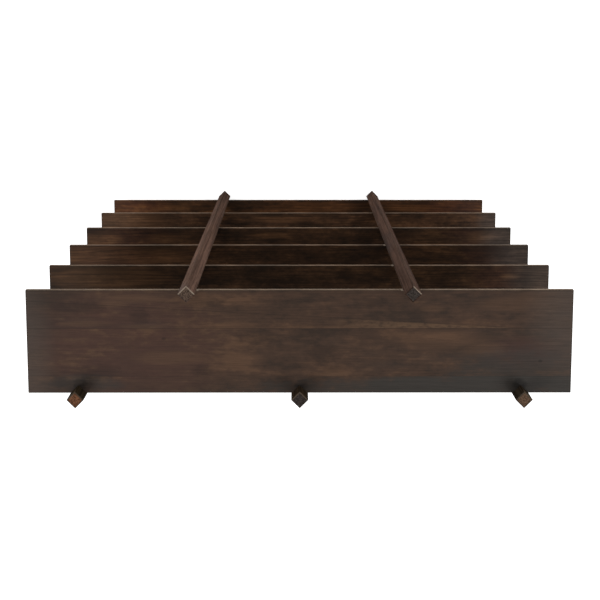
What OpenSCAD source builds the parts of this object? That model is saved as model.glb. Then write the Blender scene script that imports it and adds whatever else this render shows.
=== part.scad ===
// Open bookcase: six wooden shelves carried by five square posts set corner-on.
// The posts sit half sunk in V-notches in the shelf edges, two at the front and three at
// the back, and a cam and a cam bolt pull each post tight into each notch from inside.
// Origin: on the floor, in the middle of the case. Front faces -Y, +Z is up.

/* [Shelves] */
// Length of the shelves, left to right
shelf_l = 1400; // [1300:10:1700]
// Depth of the shelves, front to back
shelf_d = 270; // [220:1:350]
// Thickness of the shelves
shelf_t = 18; // [16:1:25]
// Height from one shelf to the next
shelf_pitch = 370; // [250:5:420]
// Radius of the eased edges of the shelves
shelf_ease = 1.5; // [0.5:0.25:3]

/* [Posts] */
// Side of the square posts
post_w = 31; // [28:0.5:42]
// Length of post above the top shelf
post_rise = 68; // [30:1:150]
// Length of post below the bottom shelf
post_drop = 100; // [40:5:200]
// Distance along the case from a back post to the next front post
post_step = 285; // [200:5:290]
// Distance of the post centres outside the shelf edges
post_proud = 1.5; // [0:0.25:4]
// Chamfer round both ends of the posts
post_chamfer = 2.5; // [0.5:0.25:4]
// Radius of the eased long corners of the posts
post_ease = 0.8; // [0.4:0.1:2]
// Easing of the two corners at the mouth of a notch
mouth_ease = 1.5; // [0.5:0.25:3]

/* [Cam bolts] */
// Diameter of the threaded end that is screwed into the post
thread_d = 6.3; // [5:0.1:8]
// Length of the threaded end
thread_l = 12; // [9:0.5:16]
// Diameter of the collar that seats in the post
collar_d = 8; // [8:0.25:9.5]
// Length of the collar
collar_l = 3; // [2:0.25:4]
// Diameter of the plain shank in the shelf
shank_d = 7; // [5.5:0.25:7.5]
// Diameter of the neck behind the head
neck_d = 4.2; // [3:0.1:5]
// Diameter of the round head that the cam grips
head_d = 6.4; // [5.6:0.1:7]
// Distance from the point of a notch to the centre of its cam
cam_set = 34; // [24:1:44]

/* [Cams] */
// Diameter of the cams
cam_d = 14.7; // [14:0.1:20]
// Thickness of the roof over the chamber in a cam
cam_roof = 1; // [0.8:0.1:1.4]
// Wall of a cam at the side where it grips the head
cam_grip = 3; // [2.4:0.1:3.2]
// Wall of a cam at the side where the head goes in
cam_wall = 1.6; // [1.2:0.1:2]
// Depth of a cam's face below the underside of the shelf
cam_sink = 0.4; // [0.2:0.1:0.8]
// Depth of the cross recess for the driver
cross_depth = 2.6; // [1.5:0.1:3]

/* [Glides] */
// Diameter of the glides under the posts
glide_d = 22; // [18:0.5:24]
// Height of the glides
glide_h = 5; // [4:0.5:8]
// Length of the nail in the post
nail_l = 16; // [10:1:30]
// Diameter of the nail
nail_d = 2.2; // [1.6:0.1:3]
// Diameter of the head of the nail
nail_head_d = 6; // [5:0.25:8]

/* [Clearances] */
// Radial clearance of a fitting in its bore
bore_fit = 0.15; // [0.1:0.05:0.3]
// Clearance round the head and the neck of a bolt in its cam
head_fit = 0.25; // [0.2:0.05:0.4]

/* [Hidden] */
$fn = 48;

// Shelves are numbered from the floor up
shelf_count = 6;
// Straight pieces in a quarter of a small rounding
arc_steps = 4;
// Overrun of a cutter past the face that it cuts
over = 1;

// Where the posts stand: place along the case, in post steps, and side of the case
FRONT = -1;
BACK = 1;
FRONT_LEFT = [-1, FRONT];
FRONT_RIGHT = [1, FRONT];
BACK_LEFT = [-2, BACK];
BACK_MIDDLE = [0, BACK];
BACK_RIGHT = [2, BACK];
PLACES = [FRONT_LEFT, FRONT_RIGHT, BACK_LEFT, BACK_MIDDLE, BACK_RIGHT];

// Half the diagonal of a post, from its centre to a corner
half_diagonal = post_w / sqrt(2);
// Depth of the V-notches, and half their width at the shelf edge
notch_depth = half_diagonal - post_proud;
// Distance of the post centres, and of the points of the notches, from the middle of the case
post_y = shelf_d / 2 + post_proud;
point_y = shelf_d / 2 - notch_depth;
post_l = post_drop + (shelf_count - 1) * shelf_pitch + shelf_t + post_rise;

// One bore passes the collar, in the post and in the shelf. In the post it is sunk until the
// whole collar lies on wood.
collar_bore_d = collar_d + 2 * bore_fit;
seat_margin = 0.2;
seat_depth = collar_bore_d / 2 + seat_margin;
thread_tip = 1;
// Room in a blind hole past the tip of a thread or a nail
tip_room = 1;

// The chamber of a cam lies off its centre, so that turning the cam draws the head in
chamber_d = cam_d - cam_grip - cam_wall;
chamber_shift = (cam_grip - cam_wall) / 2;
chamber_h = head_d + 2 * head_fit;
cam_bore_d = cam_d + 2 * bore_fit;
cam_bore_depth = shelf_t / 2 + chamber_h / 2 + cam_roof;
// Place of the head, measured from the cam's centre towards the post
head_back = cam_d / 2 - cam_grip - head_d / 2 - head_fit;
// The mouth of a cam lies this far round from the bolt when the joint is tight
mouth_turn = 200;
mouth_d = head_d + head_fit;
slot_end = 35;
slot_steps = 10;
cross_l = 7;
cross_w = 1.3;

// The nail's head is sunk in the glide, clear of the floor
nail_head_t = 1;
nail_sink = 2.2;
nail_tip = 3;
glide_round = 2;

wood_top = [0.29, 0.22, 0.18];
wood_post = [0.30, 0.25, 0.22];
steel = [0.72, 0.72, 0.70];
zinc = [0.62, 0.62, 0.60];
nylon = [0.16, 0.12, 0.10];

// Height of the underside of a shelf, and of its middle, where the bolts run
function shelf_z(i) = glide_h + post_drop + (i - 1) * shelf_pitch;
function bolt_z(i) = shelf_z(i) + shelf_t / 2;

// Quarter of a circle round a centre, and a rectangle on the X axis with its corners rounded
function quarter(cx, cy, r, start) = [
    for (k = [0 : arc_steps])
        let (a = start + 90 * k / arc_steps)
        [cx + r * cos(a), cy + r * sin(a)]
];
function eased_rectangle(w, h, r) = concat(
    quarter(w / 2 - r, h - r, r, 0),
    quarter(r - w / 2, h - r, r, 90),
    quarter(r - w / 2, r, r, 180),
    quarter(w / 2 - r, r, r, 270)
);

// Moves a child to a post: its Z axis becomes the axis of the post
module at_post(place) {
    translate([place[0] * post_step, place[1] * post_y, 0])
        children();
}

// Moves a child to the point of a notch: its Z axis then runs into the shelf, along the bolt,
// and its Y axis points up
module at_notch(place, z) {
    translate([place[0] * post_step, place[1] * point_y, z])
        rotate([90, 0, place[1] == BACK ? 0 : 180])
            children();
}

// Cutter of a V-notch, up from its foot on the axis of a post: the post's own square, and the
// easing of the two corners at the mouth, half as steep as the walls
module notch(side, h) {
    mouth = notch_depth + mouth_ease;
    rotate([0, 0, 45])
        linear_extrude(h)
            square(post_w, center = true);
    rotate([0, 0, side == BACK ? 0 : 180])
        linear_extrude(h)
            polygon([
                [0, -post_proud - mouth * tan(45 / 2)],
                [mouth, -post_proud],
                [mouth, over],
                [-mouth, over],
                [-mouth, -post_proud]
            ]);
}

module shelf_blank() {
    intersection() {
        rotate([90, 0, 0])
            linear_extrude(shelf_d + 2 * over, center = true)
                polygon(eased_rectangle(shelf_l, shelf_t, shelf_ease));
        rotate([90, 0, 90])
            linear_extrude(shelf_l + 2 * over, center = true)
                polygon(eased_rectangle(shelf_d, shelf_t, shelf_ease));
        translate([0, -shelf_d / 2, -over])
            linear_extrude(shelf_t + 2 * over)
                polygon(eased_rectangle(shelf_l, shelf_d, shelf_ease));
    }
}

// A shelf with its notches, and behind each notch the bolt's bore and the cam's blind bore
module shelf(i) {
    color(wood_top)
        difference() {
            translate([0, 0, shelf_z(i)])
                shelf_blank();
            for (place = PLACES) {
                at_post(place)
                    translate([0, 0, shelf_z(i) - over])
                        notch(place[1], shelf_t + 2 * over);
                at_notch(place, bolt_z(i))
                    translate([0, 0, -collar_bore_d])
                        cylinder(d = collar_bore_d, h = cam_set + collar_bore_d);
                at_notch(place, shelf_z(i))
                    translate([0, cam_bore_depth, cam_set])
                        rotate([90, 0, 0])
                            cylinder(d = cam_bore_d, h = cam_bore_depth + over);
            }
        }
}

// Side view of a post, wide enough to cut nothing but the chamfers at its ends
module post_ends() {
    end_w = post_w / 2 - post_chamfer;
    side = post_w / 2 + over;
    rise = post_chamfer + over;
    rotate([90, 0, 0])
        linear_extrude(2 * post_w, center = true)
            polygon([
                [-end_w, 0], [end_w, 0],
                [side, rise], [side, post_l - rise],
                [end_w, post_l], [-end_w, post_l],
                [-side, post_l - rise], [-side, rise]
            ]);
}

// A post, with a collar seat and a thread hole at each shelf and a nail hole in its foot
module post(place) {
    color(wood_post)
        difference() {
            at_post(place)
                translate([0, 0, glide_h])
                    rotate([0, 0, 45])
                        intersection() {
                            translate([0, -post_w / 2, -over])
                                linear_extrude(post_l + 2 * over)
                                    polygon(eased_rectangle(post_w, post_w, post_ease));
                            post_ends();
                            rotate([0, 0, 90])
                                post_ends();
                        }
            for (i = [1 : shelf_count])
                at_notch(place, bolt_z(i)) {
                    translate([0, 0, -seat_depth])
                        cylinder(d = collar_bore_d, h = seat_depth + over);
                    translate([0, 0, -seat_depth - thread_l - tip_room])
                        cylinder(d = thread_d + 2 * bore_fit, h = thread_l + tip_room + over);
                }
            at_post(place)
                translate([0, 0, glide_h - over])
                    cylinder(d = nail_d + 2 * bore_fit, h = over + nail_l + tip_room);
        }
}

// A cam bolt along +Z, with the point of the notch at its origin
module cam_bolt() {
    head_z = cam_set - head_back;
    shank_end = cam_set - cam_bore_d / 2;
    translate([0, 0, -seat_depth - thread_l])
        cylinder(d1 = thread_d - 2 * thread_tip, d2 = thread_d, h = thread_tip);
    translate([0, 0, -seat_depth - thread_l + thread_tip])
        cylinder(d = thread_d, h = thread_l - thread_tip);
    translate([0, 0, -seat_depth])
        cylinder(d = collar_d, h = collar_l);
    translate([0, 0, collar_l - seat_depth])
        cylinder(d = shank_d, h = shank_end + seat_depth - collar_l);
    translate([0, 0, shank_end])
        cylinder(d = neck_d, h = head_z - shank_end);
    translate([0, 0, head_z])
        sphere(d = head_d);
}

module cam_bolts(i) {
    color(steel)
        for (place = PLACES)
            at_notch(place, bolt_z(i))
                cam_bolt();
}

// A cam with its face at the origin and the driver's recess in it. Its Z axis points up into
// the shelf, and the bolt comes in from its +Y side.
module cam() {
    slot_h = neck_d + 2 * head_fit;
    bolt_h = shelf_t / 2 - cam_sink;
    mouth_angle = 90 - mouth_turn;
    difference() {
        cylinder(d = cam_d, h = cam_bore_depth - cam_sink);
        translate([0, -chamber_shift, bolt_h - chamber_h / 2])
            cylinder(d = chamber_d, h = chamber_h);
        translate([0, 0, bolt_h - slot_h / 2])
            linear_extrude(slot_h)
                polygon(concat([[0, 0]], [
                    for (a = [mouth_angle : (mouth_turn + slot_end) / slot_steps : 90 + slot_end + 0.1])
                        cam_d * [cos(a), sin(a)]
                ]));
        translate([0, 0, bolt_h])
            rotate([0, 90, mouth_angle])
                cylinder(d = mouth_d, h = cam_d);
        for (turn = [0, 90])
            rotate([0, 0, 45 + turn])
                translate([-cross_l / 2, -cross_w / 2, -over])
                    cube([cross_l, cross_w, cross_depth + over]);
    }
}

module cams(i) {
    color(zinc)
        for (place = PLACES)
            at_notch(place, shelf_z(i) + cam_sink)
                translate([0, 0, cam_set])
                    rotate([-90, 0, 0])
                        cam();
}

// A glide: a flat foot with a rounded rim, bored for its nail and sunk for the nail's head
module glide(place) {
    rim = glide_d / 2;
    bore = nail_d / 2 + bore_fit;
    sink = nail_head_d / 2 + bore_fit;
    color(nylon)
        at_post(place)
            rotate_extrude()
                polygon(concat(
                    quarter(rim - glide_round, glide_round, glide_round, 270),
                    [[rim, glide_h], [bore, glide_h], [bore, nail_sink], [sink, nail_sink], [sink, 0]]
                ));
}

module glide_nail() {
    shank_top = glide_h + nail_l;
    translate([0, 0, nail_sink - nail_head_t])
        cylinder(d = nail_head_d, h = nail_head_t);
    translate([0, 0, nail_sink])
        cylinder(d = nail_d, h = shank_top - nail_tip - nail_sink);
    translate([0, 0, shank_top - nail_tip])
        cylinder(d1 = nail_d, d2 = nail_d / 4, h = nail_tip);
}

module glide_nails() {
    color(steel)
        for (place = PLACES)
            at_post(place)
                glide_nail();
}

shelf(1);  // shelf_1
shelf(2);  // shelf_2
shelf(3);  // shelf_3
shelf(4);  // shelf_4
shelf(5);  // shelf_5
shelf(6);  // shelf_6
post(FRONT_LEFT);  // post_front_left
post(FRONT_RIGHT);  // post_front_right
post(BACK_LEFT);  // post_back_left
post(BACK_MIDDLE);  // post_back_middle
post(BACK_RIGHT);  // post_back_right
cam_bolts(1);  // cam_bolts_shelf_1
cam_bolts(2);  // cam_bolts_shelf_2
cam_bolts(3);  // cam_bolts_shelf_3
cam_bolts(4);  // cam_bolts_shelf_4
cam_bolts(5);  // cam_bolts_shelf_5
cam_bolts(6);  // cam_bolts_shelf_6
cams(1);  // cams_shelf_1
cams(2);  // cams_shelf_2
cams(3);  // cams_shelf_3
cams(4);  // cams_shelf_4
cams(5);  // cams_shelf_5
cams(6);  // cams_shelf_6
glide(FRONT_LEFT);  // glide_front_left
glide(FRONT_RIGHT);  // glide_front_right
glide(BACK_LEFT);  // glide_back_left
glide(BACK_MIDDLE);  // glide_back_middle
glide(BACK_RIGHT);  // glide_back_right
glide_nails();
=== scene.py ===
import math

import bmesh
import bpy
from mathutils import Matrix, Vector


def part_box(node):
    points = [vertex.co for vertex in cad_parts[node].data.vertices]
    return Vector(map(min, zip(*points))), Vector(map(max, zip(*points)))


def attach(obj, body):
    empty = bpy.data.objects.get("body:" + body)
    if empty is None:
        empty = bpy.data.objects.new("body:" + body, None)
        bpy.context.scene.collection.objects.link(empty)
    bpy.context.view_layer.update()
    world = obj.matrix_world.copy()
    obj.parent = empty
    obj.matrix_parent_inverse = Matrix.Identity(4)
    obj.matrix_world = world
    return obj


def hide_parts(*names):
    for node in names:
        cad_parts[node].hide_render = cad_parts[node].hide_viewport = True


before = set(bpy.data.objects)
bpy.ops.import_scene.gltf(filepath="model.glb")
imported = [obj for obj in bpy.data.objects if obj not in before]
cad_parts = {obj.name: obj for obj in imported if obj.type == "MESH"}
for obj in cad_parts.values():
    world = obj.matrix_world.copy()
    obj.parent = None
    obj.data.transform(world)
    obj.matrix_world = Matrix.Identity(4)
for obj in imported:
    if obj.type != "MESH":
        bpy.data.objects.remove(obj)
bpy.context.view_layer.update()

MM = 0.001

# Camera, fitted to the photograph: place in metres, angles in degrees. The photograph looks down
# on the top of the case from in front of it, with the case's front at the top of the picture.
CAMERA_PLACE = (0.0099, -0.8219, 5.6359)
CAMERA_TILT = 9.601
CAMERA_YAW = 0.165
CAMERA_ROLL = -0.018
CAMERA_LENS = 87.66
CAMERA_SENSOR = 36.0
CAMERA_SHIFT = -0.06

# Half the side of the floor in metres, its colour, how bright it looks by itself, and the world's
# light
FLOOR_REACH = 30.0
FLOOR_COLOR = (0.8, 0.8, 0.8, 1.0)
FLOOR_ROUGHNESS = 0.9
FLOOR_GLOW = 0.78
WORLD_LIGHT = 0.28
WHITE = (1.0, 1.0, 1.0, 1.0)

# Softboxes, one of each kind to either side: place on the case's right, aim, width, height, power
SOFTBOXES = {
    "high_light": ((2.2, 1.5, 5.2), (0.0, 0.0, 1.9), 2.0, 1.6, 61.0),
    "low_light": ((2.6, -1.6, 1.0), (0.0, 0.0, 1.0), 0.8, 1.1, 60.0),
}

SHELVES = [f"shelf_{i}" for i in range(1, 7)]
TOP_SHELF = SHELVES[-1]
POSTS = [
    "post_front_left",
    "post_front_right",
    "post_back_left",
    "post_back_middle",
    "post_back_right",
]
CAMS = [f"cams_shelf_{i}" for i in range(1, 7)]
BOLTS = [f"cam_bolts_shelf_{i}" for i in range(1, 7)]
GLIDES = [name.replace("post", "glide") for name in POSTS]
NAILS = "glide_nails"

# Where the posts stand: steps along the case, and the side of it, which is -1 at the front
POST_PLACES = ((-1, -1), (1, -1), (-2, 1), (0, 1), (2, 1))
POST_STEP = 285 * MM
POST_TURN = 45

# Cam bolts, in metres. Lengths run along the bolt, from the point of the notch into the shelf.
SEAT_DEPTH = 4.35 * MM
THREAD_LENGTH = 12 * MM
THREAD_RADIUS = 3.15 * MM
THREAD_CORE = 2.3 * MM
THREAD_PITCH = 2.4 * MM
THREAD_TIP = 1 * MM
COLLAR_RADIUS = 4 * MM
COLLAR_LENGTH = 3 * MM
COLLAR_CHAMFER = 0.3 * MM
SHANK_RADIUS = 3.5 * MM
SHANK_END = 26.5 * MM
NECK_RADIUS = 2.1 * MM
HEAD_RADIUS = 3.2 * MM
HEAD_PLACE = 33.1 * MM

# The thread's ridge: how deep its foot lies in the core, and half its foot and half its crest as
# shares of the pitch
RIDGE_SUNK = 0.2 * MM
RIDGE_FOOT = 0.38
RIDGE_CREST = 0.06

# How finely the bolts are turned
TURNED_STEPS = 24
HEAD_STEPS = 8
SHARP_ANGLE = math.radians(35)
MERGED_WITHIN = 0.001 * MM

# Sizes of the finish on the wood, in metres
EASED_EDGE = 1.5 * MM
EASED_CORNER = 0.8 * MM
EDGE_STAIN = 4.5 * MM
GLUE_LINE = 0.9 * MM
GRAIN_LINE = 1.2 * MM
GRAIN_RELIEF = 0.12 * MM

# Waves to a metre along the grain and across it: how the heart of the tree wanders and sways, the
# pores and hairs, and the clouds, flecks, grit and haze of the stain
WANDER_WAVES = (1.1, 5.0)
SWAY_WAVES = (2.3, 9.0)
PORE_WAVES = (26.0, 900.0)
HAIR_WAVES = (19.0, 720.0)
CLOUD_WAVES = (4.2, 13.0)
FLECK_WAVES = (19.0, 42.0)
GRIT_WAVES = (46.0, 95.0)
HAZE_WAVES = (1.8, 7.0)

# Growth rings to a metre, and waves to a metre on the ends
RING_WAVES = 190.0
END_WAVES = 280.0

# Where the heart of the tree lies, in metres: beside the board with a step for each stave, and
# below it with a lean along the board, and how far it wanders and sways
HEART_BESIDE = -0.07
HEART_STEP = 0.045
HEART_WANDER = 0.09
HEART_BELOW = 0.05
HEART_LEAN = 0.02
HEART_SWAY = 0.03

# Steps in the noise from one stave to the next, from one board to the next and to the haze, and
# in the growth rings from one stave and one board to the next
STAVE_STEP = (7.31, 3.17, 5.43)
BOARD_STEP = (2.7, 1.9, 3.3)
HAZE_STEP = (11.0, 4.0, 8.0)
STAVE_RINGS = 31.0
BOARD_RINGS = 17.0

# Parts that clouds, flecks and grit have in the depth of the stain
CLOUD_PART = 0.52
FLECK_PART = 0.28
GRIT_PART = 0.20

# Ranges of the noise in which one look goes over into the next
PORE_RANGE = (0.60, 0.74)
MID_RANGE = (0.37, 0.52)
WARM_RANGE = (0.50, 0.68)
HAZE_RANGE = (0.50, 0.78)
RING_RANGE = (0.35, 0.65)
FIBRE_RANGE = (0.36, 0.64)
HAIR_RANGE = (0.35, 0.65)
BLOTCH_RANGE = (0.32, 0.68)
WEAR_RANGE = (0.3, 0.7)
CHAMFER_GLINT_RANGE = (0.25, 0.6)
SAPWOOD_RANGE = (0.3, 0.6)
SAPWOOD_SHARES = (0.15, 0.65)
MOTTLE_RANGE = (0.30, 0.70)
MOTTLE_SHADES = (0.45, 1.60)

# How squarely a surface faces along the grain on the ends and on the chamfers round them
END_FACING = (0.80, 0.95)
CHAMFER_FROM = (0.45, 0.65)
CHAMFER_TO = (0.75, 0.90)
CHAMFER_SIDE = (0.25, 0.5)

# The soft edges of the sapwood in metres, and its two ends as shares of its length
WEDGE_FRONT = (-2 * MM, 5 * MM)
WEDGE_TIP = (0.0, 0.15)
WEDGE_ROOT = (0.60, 1.0)
WEDGE_LINE = (0.0, 0.1)

# How far from its middle a mark reaches, squared, how the flecks and grit fray its outline, and
# what stands for an outline without fraying
MARK_REACH = 1.8
FLECK_FRAY = 2.0
GRIT_FRAY = 1.4
MEAN_FRAY = -1.7
SMOOTH = 0.0

# How far the marks of each kind turn the wood to their colour
# The marks that grey the ends are a painted sheen, and those at the notch mouths painted
# highlights.
MARK_SHARES = {"red": 0.6, "pale": 0.6, "cool": 0.7, "end_sheen": 0.7, "notch_glints": 0.7}

# How much the pores, the marks of each kind, the stain along the edges and the line of grain
# beside the sapwood darken the wood, and how much the finest hairs darken and lighten it
PORE_DEPTH = 0.22
DARK_DEPTH = 0.30
KNOT_DEPTH = 0.45
EDGE_DEPTH = 0.35
GRAIN_LINE_DEPTH = 0.3
HAIR_DEPTH = 0.07

# Where the edges are worn and where the sides are painted lighter, in parts of the easing, the
# least share of the painted highlight on a chamfer, and how matt worn and lit wood is
EDGE_WEAR = (0.3, 1.3)
LIT_SIDE = (0.1, 0.8)
CHAMFER_GLINT_LEAST = 0.6
WORN_ROUGHNESS = 0.97

# Relief of the fibres, rings and glue lines
FIBRE_RELIEF = 0.5
RING_RELIEF = 0.3
GLUE_RELIEF = 1.5
RELIEF_STRENGTH = 0.25

# How much clouds and pores add to the roughness, and what they add on average
CLOUD_ROUGHNESS = 0.16
PORE_ROUGHNESS = 0.12
MEAN_ROUGHNESS = 0.08

# Stained wood, as linear red, green and blue
DEEP = (0.029, 0.0165, 0.0105)
MID = (0.051, 0.0275, 0.0170)
WARM = (0.090, 0.0475, 0.0270)
COOL = (0.0335, 0.0283, 0.0240)
RED = (0.060, 0.0265, 0.0190)
SAPWOOD = (0.125, 0.0720, 0.0400)
# A painted sheen that greys the ends of the shelves
END_SHEEN = (0.070, 0.0520, 0.0420)
# Worn wood on the edges, and painted light that makes the sides of the shelves lighter
WORN_AND_LIT = (0.272, 0.200, 0.141)
# A painted highlight on the chamfers and at the notch mouths
GLINT_TONE = (0.340, 0.265, 0.205)
END_GRAIN = (0.040, 0.022, 0.014)

# Metal and plastic, clean and stained, as linear red, green and blue
ZINC_PLATING = (0.60, 0.62, 0.65)
DULLED_PLATING = (0.52, 0.50, 0.42)
DARK_CASTING = (0.40, 0.40, 0.41)
LIGHT_CASTING = (0.55, 0.55, 0.54)
NYLON = (0.026, 0.018, 0.014)
SCUFFED_NYLON = (0.060, 0.048, 0.040)

# Finish of metal and plastic: waves to a metre, the range of the noise in which the stained look
# takes over, how much the noise adds to the roughness and the least roughness, and the strength
# and depth of the relief
PLATING_STAIN_WAVES = 160.0
PLATING_SCRATCH_WAVES = (900.0, 900.0, 4000.0)
PLATING_RANGE = (0.35, 0.7)
PLATING_ROUGHNESS = (0.2, 0.22)
PLATING_RELIEF = (0.15, 0.02 * MM)
CASTING_SKIN_WAVES = 1500.0
CASTING_STAIN_WAVES = 240.0
CASTING_RANGE = (0.3, 0.7)
CASTING_ROUGHNESS = (0.25, 0.35)
CASTING_RELIEF = (0.3, 0.05 * MM)
NYLON_GRAIN_WAVES = 2200.0
NYLON_SCUFF_WAVES = 300.0
NYLON_RANGE = (0.45, 0.75)
NYLON_ROUGHNESS = (0.25, 0.40)
NYLON_RELIEF = (0.35, 0.04 * MM)

# Looks of a piece of wood where its own figure says nothing else: the tone that its colours are
# multiplied by, the colour of its ends, its marks, how deep the painted shade of the posts is, how
# much haze, pale marks, blotches, rings and fibres change it, a painted sheen along its length, how
# worn its edges are, how much its sides are painted lighter, the painted highlight on a chamfer,
# and its gloss
PLAIN_WOOD = {
    "tone": (1.0, 1.0, 1.0),
    "end": END_GRAIN,
    "glue_lines": (),
    "sapwood": None,
    "pale": (),
    "dark": (),
    "post_shade": (),
    "cool": (),
    "red": (),
    "end_sheen": (),
    "knots": (),
    "notch_glints": (),
    "post_shade_depth": 0.42,
    "hazy": 0.6,
    "pale_gain": 0.0,
    "blotches": 0.0,
    "contrast": 1.2,
    "rings_depth": 0.06,
    "fibre_waves": (5.0, 240.0),
    "fibre_depth": 0.07,
    "sheen_along": 0.0,
    "worn_edges": 0.3,
    "lit_sides": 0.7,
    "glint_toward": None,
    "glint": 1.0,
    "roughness": 0.5,
    "level": 0.14,
}

# Figure of the top shelf, in millimetres from its middle. A glue line has its place across the
# board and how much it darkens the wood. A wedge of sapwood has its root and its tip along the
# board, the glue line that it leans on, and its width at the root. Marks have their place along,
# their place across, half their length and half their width. Painted shade darkens the wood
# round the three back posts at the notches in the back edge, and painted highlights light the
# mouths of the two notches in the front edge.
TOP_SEED = 6
TOP_FIGURE = {
    "contrast": 1.3,
    "glue_lines": ((-35, 0.40), (91, 0.15)),
    "sapwood": (-30, -590, -35, 31),
    "pale": (
        (-538, -97, 76, 18), (-340, -87, 30, 9), (-372, -4, 115, 24), (-470, 20, 60, 20),
        (420, -112, 70, 10), (476, -100, 36, 10), (552, -47, 62, 8), (400, -40, 55, 5),
        (160, -44, 50, 8), (340, 42, 90, 18), (150, 45, 55, 15), (-640, -105, 90, 24),
    ),
    "dark": (
        (240, -102, 48, 14), (-190, -100, 30, 12), (410, -66, 24, 20), (102, -10, 60, 18),
        (250, 77, 24, 15), (520, 80, 65, 18), (-60, 30, 40, 30), (560, -90, 60, 16),
        # The last three dark marks are painted shade round the three back posts.
        (-84, 72, 30, 9), (566, 111, 17, 14), (-4, 112, 16, 13), (-566, 111, 17, 14),
    ),
    # Painted shade round the three back posts, at the notches.
    "post_shade": ((566, 111, 17, 14), (-4, 112, 16, 13), (-566, 111, 17, 14)),
    "cool": ((-560, 80, 170, 60), (-250, 124, 340, 26), (560, 110, 100, 22), (-690, 100, 70, 50)),
    "red": ((450, 10, 240, 130), (-560, 30, 90, 40)),
    # A painted sheen that greys both ends
    "end_sheen": ((-730, -70, 130, 150), (760, 40, 110, 240)),
    "knots": ((348, -8, 6, 4), (-619, 51, 6, 4)),
    # Painted highlights at the mouths of the two front notches
    "notch_glints": ((262, -134.5, 4.5, 2), (-262, -134.5, 4.5, 2)),
}

# What the lower shelves share: painted shade inside the two front posts, and a livelier grain
LOWER_SHELF = {
    "post_shade": ((232, -112, 50, 32), (-234, -112, 54, 32)),
    "post_shade_depth": 0.32,
    "hazy": 0.3,
    "pale_gain": 0.35,
    "blotches": 0.4,
    "rings_depth": 0.17,
    "fibre_depth": 0.20,
    "worn_edges": 0.2,
    "lit_sides": 0.38,
    "level": 0.12,
}

# Figure of each of the lower shelves, from the bottom one up, in the same measures. The marks
# that grey an end of a shelf are a painted sheen, as is the last pale mark of shelf_5, and the
# marks at the notch mouths are painted highlights.
LOWER_FIGURES = {
    "shelf_1": {
        "tone": (1.00, 0.75, 0.47),
        "glue_lines": ((-30, 0.5),),
        "pale": ((470, -105, 60, 9), (-90, -108, 150, 18), (-430, -105, 90, 13)),
        "dark": ((370, -100, 60, 20), (40, -100, 40, 14)),
        "red": ((-600, -105, 140, 30), (590, -105, 110, 30)),
    },
    "shelf_2": {
        "tone": (1.10, 0.98, 0.80),
        "glue_lines": ((-16, 0.5),),
        "pale": ((620, -105, 130, 34), (60, -112, 90, 12)),
        "dark": ((340, -100, 40, 24), (-540, -98, 60, 10)),
        "end_sheen": ((-700, -90, 60, 90),),
    },
    "shelf_3": {
        "tone": (0.77, 0.69, 0.55),
        "glue_lines": ((-2, 0.5),),
        "pale": (
            (650, -100, 60, 22), (450, -100, 50, 18), (100, -112, 70, 10), (-610, -105, 50, 18),
        ),
        "dark": ((-450, -100, 60, 20), (650, -122, 40, 10)),
        "red": ((560, -100, 140, 60), (-560, -100, 110, 40)),
        "end_sheen": ((-700, -90, 90, 90),),
    },
    "shelf_4": {
        "tone": (0.86, 0.77, 0.61),
        "glue_lines": ((12, 0.5),),
        "pale_gain": 0.7,
        "lit_sides": 0.29,
        "pale": ((590, -108, 200, 30), (470, -92, 110, 14)),
        "dark": ((150, -100, 50, 20), (-440, -98, 110, 30)),
        "red": ((570, -100, 120, 60), (-580, -100, 90, 40)),
        "end_sheen": ((-700, -90, 110, 90),),
        "notch_glints": ((-262, -134.5, 4.5, 2),),
    },
    "shelf_5": {
        "tone": (1.04, 0.97, 0.79),
        "glue_lines": ((26, 0.5),),
        "pale_gain": 0.5,
        "lit_sides": 0.32,
        # The last pale mark is a painted sheen on the end.
        "pale": ((540, -100, 150, 30), (-590, -104, 26, 7), (-700, -90, 50, 50)),
        "dark": ((-150, -100, 50, 24), (-430, -105, 110, 34)),
        "red": ((-560, -100, 70, 60),),
        "end_sheen": ((-710, -90, 115, 110),),
        "notch_glints": ((-262, -134.5, 4.5, 2),),
    },
}

# What the posts share: long fibres under a matt stain
POST_SEED = 20
POST_WOOD = {
    "contrast": 0.5,
    "fibre_waves": (2.6, 230.0),
    "fibre_depth": 0.32,
    "worn_edges": 0.2,
    "lit_sides": 0.0,
    "roughness": 0.9,
    "level": 0.01,
}

# Stain of each post, the colour of its ends, the way that the chamfer with a painted highlight
# faces and how strong that highlight is, and on one post a painted sheen along its length
POST_FIGURES = {
    "post_front_left": {
        "tone": (1.16, 1.23, 1.45),
        "end": (0.0487, 0.0398, 0.0345),
        "glint_toward": (-0.7, -0.7),
        "glint": 0.9,
    },
    "post_front_right": {
        "tone": (1.62, 1.74, 2.05),
        "end": (0.0675, 0.0460, 0.0343),
        # Painted sheen: lighter towards the top end
        "sheen_along": 0.36,
        "glint_toward": (0.0, -1.0),
    },
    "post_back_left": {
        "tone": (1.00, 1.32, 1.40),
        "end": (0.1150, 0.0700, 0.0450),
        "glint_toward": (0.0, -1.0),
        "glint": 0.25,
    },
    "post_back_middle": {
        "tone": (1.12, 1.34, 1.30),
        "end": (0.0408, 0.0326, 0.0294),
        "glint_toward": (0.0, -1.0),
        "glint": 0.35,
    },
    "post_back_right": {
        "tone": (0.94, 1.18, 1.04),
        "end": (0.1420, 0.0640, 0.0340),
        "glint_toward": (0.0, -1.0),
        "glint": 0.2,
    },
}


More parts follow.
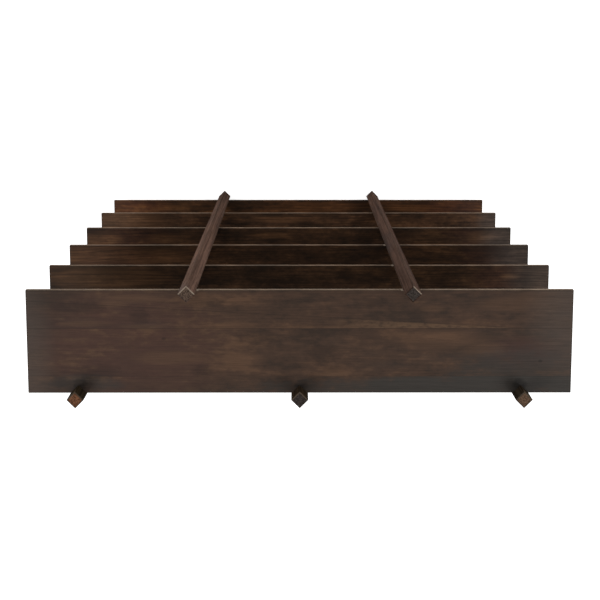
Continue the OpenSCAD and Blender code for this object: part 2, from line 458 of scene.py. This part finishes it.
class Graph:
    """A material or world under construction, with short calls for the nodes that they use."""

    def __init__(self, owner):
        owner.use_nodes = True
        self.material = owner
        self.nodes = owner.node_tree.nodes
        self.links = owner.node_tree.links
        self.surface = self.nodes.get("Principled BSDF")

    def put(self, socket, value):
        if isinstance(value, bpy.types.NodeSocket):
            self.links.new(value, socket)
        else:
            socket.default_value = value

    def node(self, kind, *values, **settings):
        """Adds a node, and fills its first inputs with numbers or links."""
        made = self.nodes.new(kind)
        for key, value in settings.items():
            setattr(made, key, value)
        for socket, value in zip(made.inputs, values):
            self.put(socket, value)
        return made

    def place(self):
        """The place on the object."""
        return self.node("ShaderNodeTexCoord").outputs["Object"]

    def normal(self):
        """The way that the surface faces."""
        return self.node("ShaderNodeNewGeometry").outputs["Normal"]

    def math(self, operation, *values):
        return self.node("ShaderNodeMath", *values, operation=operation).outputs[0]

    def times(self, first, second):
        return self.math("MULTIPLY", first, second)

    def plus(self, first, second):
        return self.math("ADD", first, second)

    def minus(self, first, second):
        return self.math("SUBTRACT", first, second)

    def times_plus(self, value, gain, start):
        return self.math("MULTIPLY_ADD", value, gain, start)

    def larger(self, first, second):
        return self.math("MAXIMUM", first, second)

    def size(self, value):
        return self.math("ABSOLUTE", value)

    def vector(self, operation, *values):
        return self.node("ShaderNodeVectorMath", *values, operation=operation).outputs["Vector"]

    def dot(self, *values):
        return self.node("ShaderNodeVectorMath", *values, operation="DOT_PRODUCT").outputs["Value"]

    def scaled(self, vector, amount):
        made = self.node("ShaderNodeVectorMath", vector, operation="SCALE")
        self.put(made.inputs["Scale"], amount)
        return made.outputs["Vector"]

    def join(self, *values):
        return self.node("ShaderNodeCombineXYZ", *values).outputs[0]

    def noise(self, place, detail=2.0, roughness=0.5, distortion=0.0):
        made = self.node("ShaderNodeTexNoise")
        one_number = place.type == "VALUE"
        made.noise_dimensions = "1D" if one_number else "3D"
        self.put(made.inputs["W" if one_number else "Vector"], place)
        made.inputs["Scale"].default_value = 1.0
        made.inputs["Detail"].default_value = detail
        made.inputs["Roughness"].default_value = roughness
        made.inputs["Distortion"].default_value = distortion
        return made.outputs["Fac"]

    def waves(self, place, waves, detail):
        """Noise with so many waves to a metre along each axis."""
        return self.noise(self.vector("MULTIPLY", place, waves), detail)

    def even_waves(self, place, waves, detail):
        """Noise with as many waves to a metre in all directions."""
        return self.waves(place, (waves, waves, waves), detail)

    def grain_noise(self, place, waves, detail=2.0, roughness=0.5, distortion=0.0):
        """Noise with so many waves to a metre along the grain and across it."""
        along, across = waves
        stretched = self.vector("MULTIPLY", place, (along, across, across))
        return self.noise(stretched, detail, roughness, distortion)

    def step(self, value, reach, start=0.0, end=1.0):
        """Eases from start to end while value goes over its reach."""
        return self.node("ShaderNodeMapRange", value, *reach, start, end,
                         interpolation_type="SMOOTHSTEP").outputs[0]

    def less(self, whole, share, amount):
        """The whole, darkened by an amount where share is 1."""
        return self.times(whole, self.times_plus(share, -amount, 1.0))

    def blend(self, share, first, second):
        made = self.node("ShaderNodeMix", data_type="RGBA")
        self.put(made.inputs["Factor"], share)
        for socket, value in zip((made.inputs[6], made.inputs[7]), (first, second)):
            self.put(socket, value if isinstance(value, bpy.types.NodeSocket) else (*value, 1.0))
        return made.outputs[2]

    def bump(self, height, strength, distance):
        made = self.node("ShaderNodeBump")
        self.put(made.inputs["Height"], height)
        made.inputs["Strength"].default_value = strength
        made.inputs["Distance"].default_value = distance
        return made.outputs[0]

    def finish(self, color, roughness, normal, **fixed):
        self.put(self.surface.inputs["Base Color"], color)
        self.put(self.surface.inputs["Roughness"], roughness)
        self.put(self.surface.inputs["Normal"], normal)
        for key, value in fixed.items():
            self.surface.inputs[key.replace("_", " ")].default_value = value
        return self.material


def new_material(name):
    return Graph(bpy.data.materials.new(name))


class Board:
    """How a piece of wood lies: its middle, half its sizes and its grain."""

    def __init__(self, node, upright, ease):
        low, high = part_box(node)
        self.middle = (low + high) / 2
        self.upright = upright
        self.turn = POST_TURN if upright else 0
        self.ease = ease
        half = (high - low) / 2
        if upright:
            side = half.x / math.sqrt(2)
            self.half = (half.z, side, side)
        else:
            self.half = tuple(half)

    def axes(self, g):
        """Place on the board: along the grain, across the face and through the thickness."""
        centred = g.vector("SUBTRACT", g.place(), tuple(self.middle))
        turned = g.node("ShaderNodeMapping", centred)
        turned.inputs["Rotation"].default_value = (0, 0, math.radians(-self.turn))
        parts = g.node("ShaderNodeSeparateXYZ", turned.outputs[0]).outputs
        if self.upright:
            return parts[2], parts[0], parts[1]
        return parts[0], parts[1], parts[2]

    def squarely(self, g):
        """How squarely the surface faces along the grain: 1 on the ends."""
        axis = (0, 0, 1) if self.upright else (1, 0, 0)
        return g.size(g.dot(g.normal(), axis))


class Wood:
    """Stained solid wood: staves with growth rings, fibres, pores and clouds of stain."""

    def __init__(self, name, board, seed, *figures):
        self.g = new_material("wood_" + name)
        self.board = board
        self.look = dict(PLAIN_WOOD)
        for figure in figures:
            self.look.update(figure)
        self.along, self.across, self.through = board.axes(self.g)
        self.lay_staves()
        self.grow_grain(seed)
        self.spread_stain()

    def lay_staves(self):
        """Counts the staves across the board, and draws the glue lines between them."""
        g = self.g
        self.stave = 0.0
        self.glue = 0.0
        for line, depth in self.look["glue_lines"]:
            off = g.minus(self.across, line * MM)
            self.stave = g.plus(g.math("GREATER_THAN", off, 0.0), self.stave)
            on_line = g.step(g.size(off), (GLUE_LINE / 2, GLUE_LINE), depth, 0.0)
            self.glue = g.larger(on_line, self.glue)

    def grow_grain(self, seed):
        """Draws the rings, fibres, pores and hairs, with another tree for each stave."""
        g = self.g
        other_tree = g.scaled(g.join(*STAVE_STEP), self.stave)
        shift = g.vector("ADD", other_tree, tuple(seed * step for step in BOARD_STEP))
        self.inside = g.vector("ADD", g.join(self.along, self.across, self.through), shift)

        wander = g.grain_noise(self.inside, WANDER_WAVES)
        sway = g.grain_noise(self.inside, SWAY_WAVES, detail=3.0)
        heart = g.times_plus(self.stave, HEART_STEP, HEART_BESIDE)
        beside = g.plus(self.across, g.times_plus(wander, HEART_WANDER, heart))
        dip = g.times_plus(sway, HEART_SWAY, HEART_BELOW)
        below = g.plus(self.through, g.times_plus(self.along, HEART_LEAN, dip))
        radius = g.math("SQRT", g.times_plus(beside, beside, g.times(below, below)))
        first_ring = g.times_plus(self.stave, STAVE_RINGS, seed * BOARD_RINGS)
        ring_place = g.times_plus(radius, RING_WAVES, first_ring)
        self.rings = g.noise(ring_place, detail=2.0, roughness=0.6)

        self.fibre = g.grain_noise(self.inside, self.look["fibre_waves"], detail=3.0, roughness=0.6)
        self.pores = g.step(g.grain_noise(self.inside, PORE_WAVES, detail=1.0), PORE_RANGE)
        self.hairs = g.grain_noise(self.inside, HAIR_WAVES, detail=2.0)

    def spread_stain(self):
        """Draws the clouds, flecks, grit and haze of the stain, and its depth from them."""
        g = self.g
        self.cloud = g.grain_noise(self.inside, CLOUD_WAVES, detail=3.0, roughness=0.55,
                                   distortion=0.4)
        self.fleck = g.grain_noise(self.inside, FLECK_WAVES, detail=4.0, roughness=0.62)
        self.grit = g.grain_noise(self.inside, GRIT_WAVES, detail=3.0, roughness=0.6)
        self.haze = g.grain_noise(g.vector("ADD", self.inside, HAZE_STEP), HAZE_WAVES, detail=3.0)
        frayed = g.times_plus(self.grit, GRIT_FRAY, MEAN_FRAY)
        self.ragged = g.times_plus(self.fleck, FLECK_FRAY, frayed)
        self.pale = self.marks("pale", self.ragged)

        contrast = self.look["contrast"]
        depth = g.times_plus(self.fleck, FLECK_PART, g.times(self.grit, GRIT_PART))
        depth = g.times_plus(self.cloud, CLOUD_PART, depth)
        self.depth = g.times_plus(depth, contrast, 0.5 - 0.5 * contrast)

    def marks(self, kind, outline):
        """Soft oval marks of one kind, with a ragged or a smooth outline."""
        g = self.g
        total = 0.0
        for mark in self.look[kind]:
            x, y, half_length, half_width = (value * MM for value in mark)
            u = g.math("DIVIDE", g.minus(self.along, x), half_length)
            v = g.math("DIVIDE", g.minus(self.across, y), half_width)
            away = g.times_plus(u, u, g.times_plus(v, v, outline))
            total = g.larger(g.step(away, (0.0, MARK_REACH), 1.0, 0.0), total)
        return total

    def turned_to(self, kind, outline, color, mark_color):
        """The colour with the marks of one kind on it."""
        share = self.g.times(self.marks(kind, outline), MARK_SHARES[kind])
        return self.g.blend(share, color, mark_color)

    def stain(self):
        """The colour of the stain and a painted sheen on the ends, before the grain darkens and
        lightens it.
        """
        g = self.g
        color = g.blend(g.step(self.depth, MID_RANGE), DEEP, MID)
        color = self.turned_to("red", self.ragged, color, RED)
        warmth = g.plus(g.step(self.depth, WARM_RANGE), g.times(self.pale, MARK_SHARES["pale"]))
        color = g.blend(g.math("MINIMUM", warmth, 1.0), color, WARM)
        haze = g.step(self.haze, HAZE_RANGE, 0.0, self.look["hazy"])
        coolness = g.times_plus(self.marks("cool", self.ragged), MARK_SHARES["cool"], haze)
        color = g.blend(g.math("MINIMUM", coolness, 1.0), color, COOL)
        color = g.vector("MULTIPLY", color, self.look["tone"])
        # Painted sheen that greys the ends.
        return self.turned_to("end_sheen", SMOOTH, color, END_SHEEN)

    def wedge(self):
        """A pale wedge of sapwood in front of a glue line, and the thin line of grain beside it."""
        g = self.g
        root, tip, line, width = (value * MM for value in self.look["sapwood"])
        share = g.math("DIVIDE", g.minus(self.along, tip), root - tip)
        off = g.minus(self.across, g.times_plus(share, -width, line))
        behind = g.step(self.across, (line - MM, line), 1.0, 0.0)
        inside = g.times(g.step(off, WEDGE_FRONT), behind)
        ends = g.times(g.step(share, WEDGE_TIP), g.step(share, WEDGE_ROOT, 1.0, 0.0))
        on_line = g.step(g.size(off), (GRAIN_LINE / 2, GRAIN_LINE), 1.0, 0.0)
        return g.times(inside, ends), g.times(on_line, g.step(share, WEDGE_LINE))

    def end_grain(self, color, squarely):
        """The colour with the mottled grain of the ends on it."""
        g = self.g
        mottle = g.noise(g.scaled(self.inside, END_WAVES), detail=2.0, roughness=0.7)
        shade = g.step(mottle, MOTTLE_RANGE, *MOTTLE_SHADES)
        mottled = g.scaled(g.join(*self.look["end"]), shade)
        return g.blend(g.step(squarely, END_FACING), color, mottled)

    def grain_shade(self, shade):
        """How much the grain, the marks, the glue lines, painted shade and painted sheen change the
        colour.
        """
        g = self.g
        look = self.look
        rings, fibre, blotches = look["rings_depth"], look["fibre_depth"], look["blotches"]
        grain = g.plus(g.step(self.rings, RING_RANGE, 1.0 - rings, 1.0 + rings),
                       g.step(self.fibre, FIBRE_RANGE, -fibre, fibre))
        grain = g.plus(grain, g.step(self.hairs, HAIR_RANGE, -HAIR_DEPTH, HAIR_DEPTH))
        shade = g.times(shade, grain)
        shade = g.times(shade, g.step(self.depth, BLOTCH_RANGE, 1.0 - blotches, 1.0 + blotches))
        shade = g.times(shade, g.times_plus(self.pale, look["pale_gain"], 1.0))
        # A painted sheen that lightens the wood towards one end.
        shade = g.times(shade, g.times_plus(self.along, look["sheen_along"] / self.board.half[0], 1.0))
        shade = g.less(shade, self.pores, PORE_DEPTH)
        shade = g.less(shade, self.marks("dark", self.ragged), DARK_DEPTH)
        # Painted shade round the posts, darkening the wood beside them.
        shade = g.less(shade, self.marks("post_shade", self.ragged), look["post_shade_depth"])
        shade = g.less(shade, self.marks("knots", SMOOTH), KNOT_DEPTH)
        return g.less(shade, self.glue, 1.0)

    def near_edges(self, distances, reach):
        """1 where two of the three distances to the sides are small, which is along an edge."""
        g = self.g
        near = [g.step(distance, reach, 1.0, 0.0) for distance in distances]
        pairs = [g.times(near[a], near[b]) for a, b in ((0, 1), (1, 2), (0, 2))]
        return g.larger(g.larger(pairs[0], pairs[1]), pairs[2])

    def chamfer_glint(self, color, squarely):
        """The colour with a painted highlight, patchy like bare wood, on the chamfers that face one
        way.
        """
        g = self.g
        glint = self.look["glint"]
        facing = g.step(g.dot(g.normal(), (*self.look["glint_toward"], 0.0)), CHAMFER_SIDE)
        slanting = g.step(squarely, CHAMFER_TO, 1.0, 0.0)
        chamfer = g.times(g.step(squarely, CHAMFER_FROM), slanting)
        patchy = g.step(self.grit, CHAMFER_GLINT_RANGE, CHAMFER_GLINT_LEAST * glint, glint)
        return g.blend(g.times(g.times(facing, chamfer), patchy), color, GLINT_TONE)

    def relief(self):
        g = self.g
        height = g.times_plus(self.fibre, FIBRE_RELIEF, g.times(self.rings, RING_RELIEF))
        height = g.minus(height, self.pores)
        height = g.minus(height, g.times(self.glue, GLUE_RELIEF))
        return g.bump(height, RELIEF_STRENGTH, GRAIN_RELIEF)

    def roughness(self, worn):
        g = self.g
        pores = g.times_plus(self.pores, PORE_ROUGHNESS, self.look["roughness"] - MEAN_ROUGHNESS)
        rough = g.times_plus(self.cloud, CLOUD_ROUGHNESS, pores)
        return g.larger(rough, g.times(worn, WORN_ROUGHNESS))

    def material(self):
        g = self.g
        ease = self.board.ease
        worn_edges, lit_sides = self.look["worn_edges"], self.look["lit_sides"]
        squarely = self.board.squarely(g)
        color = self.stain()
        shade = 1.0
        if self.look["sapwood"]:
            wedge, grain_line = self.wedge()
            share = g.times(wedge, g.step(self.grit, SAPWOOD_RANGE, *SAPWOOD_SHARES))
            color = g.blend(share, color, SAPWOOD)
            shade = g.times_plus(grain_line, -GRAIN_LINE_DEPTH, 1.0)
        color = self.end_grain(color, squarely)
        shade = self.grain_shade(shade)

        sides = zip(self.board.half, (self.along, self.across, self.through))
        distances = [g.minus(half, g.size(part)) for half, part in sides]
        shade = g.less(shade, self.near_edges(distances, (ease, EDGE_STAIN)), EDGE_DEPTH)
        color = g.scaled(color, shade)
        on_edge = self.near_edges(distances, tuple(part * ease for part in EDGE_WEAR))
        edge_wear = g.times(on_edge, g.step(self.fleck, WEAR_RANGE, worn_edges / 2, worn_edges))
        color = g.blend(edge_wear, color, WORN_AND_LIT)
        # Painted light: the faces across the board, at the front and the back, are made lighter.
        on_side = g.step(distances[1], tuple(part * ease for part in LIT_SIDE), 1.0, 0.0)
        side_light = g.times(on_side, g.step(self.fleck, WEAR_RANGE, lit_sides / 2, lit_sides))
        color = g.blend(side_light, color, g.scaled(g.join(*WORN_AND_LIT), shade))
        # Painted highlights at the mouths of the notches.
        color = self.turned_to("notch_glints", SMOOTH, color, GLINT_TONE)
        # Painted highlight on the chamfers round the ends that face one way.
        if self.look["glint_toward"]:
            color = self.chamfer_glint(color, squarely)
        rough = self.roughness(g.larger(on_edge, on_side))
        return g.finish(color, rough, self.relief(), Specular_IOR_Level=self.look["level"])


def plated_steel():
    g = new_material("zinc_plated_steel")
    place = g.place()
    stain = g.even_waves(place, PLATING_STAIN_WAVES, detail=4.0)
    scratches = g.waves(place, PLATING_SCRATCH_WAVES, detail=2.0)
    color = g.blend(g.step(stain, PLATING_RANGE), ZINC_PLATING, DULLED_PLATING)
    rough = g.times_plus(stain, *PLATING_ROUGHNESS)
    return g.finish(color, rough, g.bump(scratches, *PLATING_RELIEF), Metallic=1.0)


def cast_zinc():
    g = new_material("cast_zinc")
    place = g.place()
    skin = g.even_waves(place, CASTING_SKIN_WAVES, detail=3.0)
    stain = g.even_waves(place, CASTING_STAIN_WAVES, detail=4.0)
    color = g.blend(g.step(stain, CASTING_RANGE), DARK_CASTING, LIGHT_CASTING)
    rough = g.times_plus(skin, *CASTING_ROUGHNESS)
    return g.finish(color, rough, g.bump(skin, *CASTING_RELIEF), Metallic=1.0)


def brown_nylon():
    g = new_material("brown_nylon")
    place = g.place()
    grain = g.even_waves(place, NYLON_GRAIN_WAVES, detail=2.0)
    scuff = g.even_waves(place, NYLON_SCUFF_WAVES, detail=4.0)
    color = g.blend(g.step(scuff, NYLON_RANGE), NYLON, SCUFFED_NYLON)
    rough = g.times_plus(scuff, *NYLON_ROUGHNESS)
    return g.finish(color, rough, g.bump(grain, *NYLON_RELIEF))


def turned(sheet, profile):
    """A solid of revolution about Z, from its profile as radius and height."""
    verts = [sheet.verts.new((radius, 0.0, height)) for radius, height in profile]
    edges = [sheet.edges.new(pair) for pair in zip(verts, verts[1:])]
    bmesh.ops.spin(sheet, geom=verts + edges, axis=(0.0, 0.0, 1.0), angle=math.tau,
                   steps=TURNED_STEPS, use_merge=True)
    bmesh.ops.remove_doubles(sheet, verts=sheet.verts, dist=MERGED_WITHIN)


def wound_ridge(sheet, low, high):
    """The ridge of a thread, wound round Z between two heights, with its foot in the core."""
    foot = THREAD_CORE - RIDGE_SUNK
    corners = (
        (foot, -RIDGE_FOOT),
        (THREAD_RADIUS, -RIDGE_CREST),
        (THREAD_RADIUS, RIDGE_CREST),
        (foot, RIDGE_FOOT),
    )
    start = low + RIDGE_FOOT * THREAD_PITCH
    rise = high - RIDGE_FOOT * THREAD_PITCH - start
    turns = rise / THREAD_PITCH
    steps = math.ceil(turns * TURNED_STEPS)
    section = [(radius, 0.0, start + share * THREAD_PITCH) for radius, share in corners]
    face = sheet.faces.new([sheet.verts.new(corner) for corner in section])
    bmesh.ops.spin(sheet, geom=[face], axis=(0.0, 0.0, 1.0), dvec=(0.0, 0.0, rise / steps),
                   angle=turns * math.tau, steps=steps)


def round_head():
    """Profile of a bolt's head, from its neck to the middle of its crown."""
    neck_angle = math.asin(NECK_RADIUS / HEAD_RADIUS)
    for step in range(HEAD_STEPS + 1):
        angle = math.pi - neck_angle + (neck_angle - math.pi) * step / HEAD_STEPS
        yield HEAD_RADIUS * math.sin(angle), HEAD_PLACE + HEAD_RADIUS * math.cos(angle)


def cam_bolt():
    """One cam bolt along Z: thread, collar, shank, neck and round head."""
    tip = -SEAT_DEPTH - THREAD_LENGTH
    profile = [
        (0.0, tip),
        (THREAD_CORE - THREAD_TIP, tip),
        (THREAD_CORE, tip + THREAD_TIP),
        (THREAD_CORE, -SEAT_DEPTH),
        (COLLAR_RADIUS - COLLAR_CHAMFER, -SEAT_DEPTH),
        (COLLAR_RADIUS, COLLAR_CHAMFER - SEAT_DEPTH),
        (COLLAR_RADIUS, COLLAR_LENGTH - COLLAR_CHAMFER - SEAT_DEPTH),
        (COLLAR_RADIUS - COLLAR_CHAMFER, COLLAR_LENGTH - SEAT_DEPTH),
        (SHANK_RADIUS, COLLAR_LENGTH - SEAT_DEPTH),
        (SHANK_RADIUS, SHANK_END),
        (NECK_RADIUS, SHANK_END),
        *round_head(),
    ]
    sheet = bmesh.new()
    turned(sheet, profile)
    wound_ridge(sheet, tip + THREAD_TIP / 2, -SEAT_DEPTH)
    bmesh.ops.recalc_face_normals(sheet, faces=sheet.faces)
    for face in sheet.faces:
        face.smooth = True
    for edge in sheet.edges:
        edge.smooth = edge.calc_face_angle(0.0) < SHARP_ANGLE
    mesh = bpy.data.meshes.new("cam_bolt")
    sheet.to_mesh(mesh)
    sheet.free()
    return mesh


def make_threaded_bolts(steel):
    """The cam bolts of each shelf with their real threads, in the place of the plain ones."""
    bolt = cam_bolt()
    for name in BOLTS:
        low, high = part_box(name)
        point = high.y - SEAT_DEPTH - THREAD_LENGTH
        group = bmesh.new()
        for step, side in POST_PLACES:
            first = len(group.verts)
            group.from_mesh(bolt)
            group.verts.ensure_lookup_table()
            place = Matrix.Translation((step * POST_STEP, side * point, (low.z + high.z) / 2))
            turn = Matrix.Rotation(side * math.pi / 2, 4, "X")
            bmesh.ops.transform(group, matrix=place @ turn, verts=group.verts[first:])
        mesh = bpy.data.meshes.new("threaded_" + name)
        group.to_mesh(mesh)
        group.free()
        mesh.materials.append(steel)
        piece = bpy.data.objects.new("threaded_" + name, mesh)
        bpy.context.scene.collection.objects.link(piece)
        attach(piece, "root")
        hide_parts(name)
    bpy.data.meshes.remove(bolt)


def dress(names, material):
    """Gives CAD nodes their finish."""
    for name in names:
        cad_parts[name].material_slots[0].material = material


def make_shelf_finish():
    for seed, name in enumerate(SHELVES):
        board = Board(name, upright=False, ease=EASED_EDGE)
        if name == TOP_SHELF:
            wood = Wood(name, board, TOP_SEED, TOP_FIGURE)
        else:
            wood = Wood(name, board, seed, LOWER_SHELF, LOWER_FIGURES[name])
        dress([name], wood.material())


def make_post_finish():
    for seed, name in enumerate(POSTS, POST_SEED):
        board = Board(name, upright=True, ease=EASED_CORNER)
        wood = Wood(name, board, seed, POST_WOOD, POST_FIGURES[name])
        dress([name], wood.material())


def make_materials():
    make_shelf_finish()
    make_post_finish()
    steel = plated_steel()
    make_threaded_bolts(steel)
    dress([*BOLTS, NAILS], steel)
    dress(CAMS, cast_zinc())
    dress(GLIDES, brown_nylon())


def seen_ray(g):
    """1 for what the camera sees, also in a reflection or through glass."""
    path = g.node("ShaderNodeLightPath").outputs
    mirrored = g.larger(path["Is Glossy Ray"], path["Is Transmission Ray"])
    return g.larger(path["Is Camera Ray"], mirrored)


def make_floor():
    mesh = bpy.data.meshes.new("floor")
    sheet = bmesh.new()
    bmesh.ops.create_grid(sheet, x_segments=1, y_segments=1, size=FLOOR_REACH)
    sheet.to_mesh(mesh)
    sheet.free()
    floor = bpy.data.objects.new("floor", mesh)
    bpy.context.scene.collection.objects.link(floor)
    g = new_material("white_floor")
    g.surface.inputs["Base Color"].default_value = FLOOR_COLOR
    g.surface.inputs["Roughness"].default_value = FLOOR_ROUGHNESS
    g.surface.inputs["Specular IOR Level"].default_value = 0.0
    g.surface.inputs["Emission Color"].default_value = WHITE
    g.put(g.surface.inputs["Emission Strength"], g.times(seen_ray(g), FLOOR_GLOW))
    mesh.materials.append(g.material)


def make_world():
    world = bpy.data.worlds.new("studio")
    bpy.context.scene.world = world
    g = Graph(world)
    background = g.nodes["Background"]
    background.inputs["Color"].default_value = WHITE
    light = g.times_plus(seen_ray(g), 1.0 - WORLD_LIGHT, WORLD_LIGHT)
    g.put(background.inputs["Strength"], light)


def softbox(name, place, aim, width, height, power):
    lamp = bpy.data.lights.new(name, "AREA")
    lamp.shape = "RECTANGLE"
    lamp.size = width
    lamp.size_y = height
    lamp.energy = power
    light = bpy.data.objects.new(name, lamp)
    bpy.context.scene.collection.objects.link(light)
    light.location = place
    light.rotation_euler = (Vector(aim) - Vector(place)).to_track_quat("-Z", "Y").to_euler()
    light.visible_camera = False


def make_lights():
    for side, word in ((-1, "left"), (1, "right")):
        for name, ((x, y, z), *rest) in SOFTBOXES.items():
            softbox(f"{name}_{word}", (side * x, y, z), *rest)


def make_camera():
    data = bpy.data.cameras.new("camera")
    data.lens = CAMERA_LENS
    data.sensor_width = CAMERA_SENSOR
    data.shift_y = CAMERA_SHIFT
    camera = bpy.data.objects.new("camera", data)
    bpy.context.scene.collection.objects.link(camera)
    camera.matrix_world = (
        Matrix.Translation(CAMERA_PLACE)
        @ Matrix.Rotation(math.pi, 4, "Z")
        @ Matrix.Rotation(math.radians(-CAMERA_TILT), 4, "X")
        @ Matrix.Rotation(math.radians(-CAMERA_YAW), 4, "Y")
        @ Matrix.Rotation(math.radians(CAMERA_ROLL), 4, "Z")
    )
    bpy.context.scene.camera = camera


make_camera()
make_world()
make_floor()
make_lights()
make_materials()
bpy.context.scene.view_settings.view_transform = "Standard"
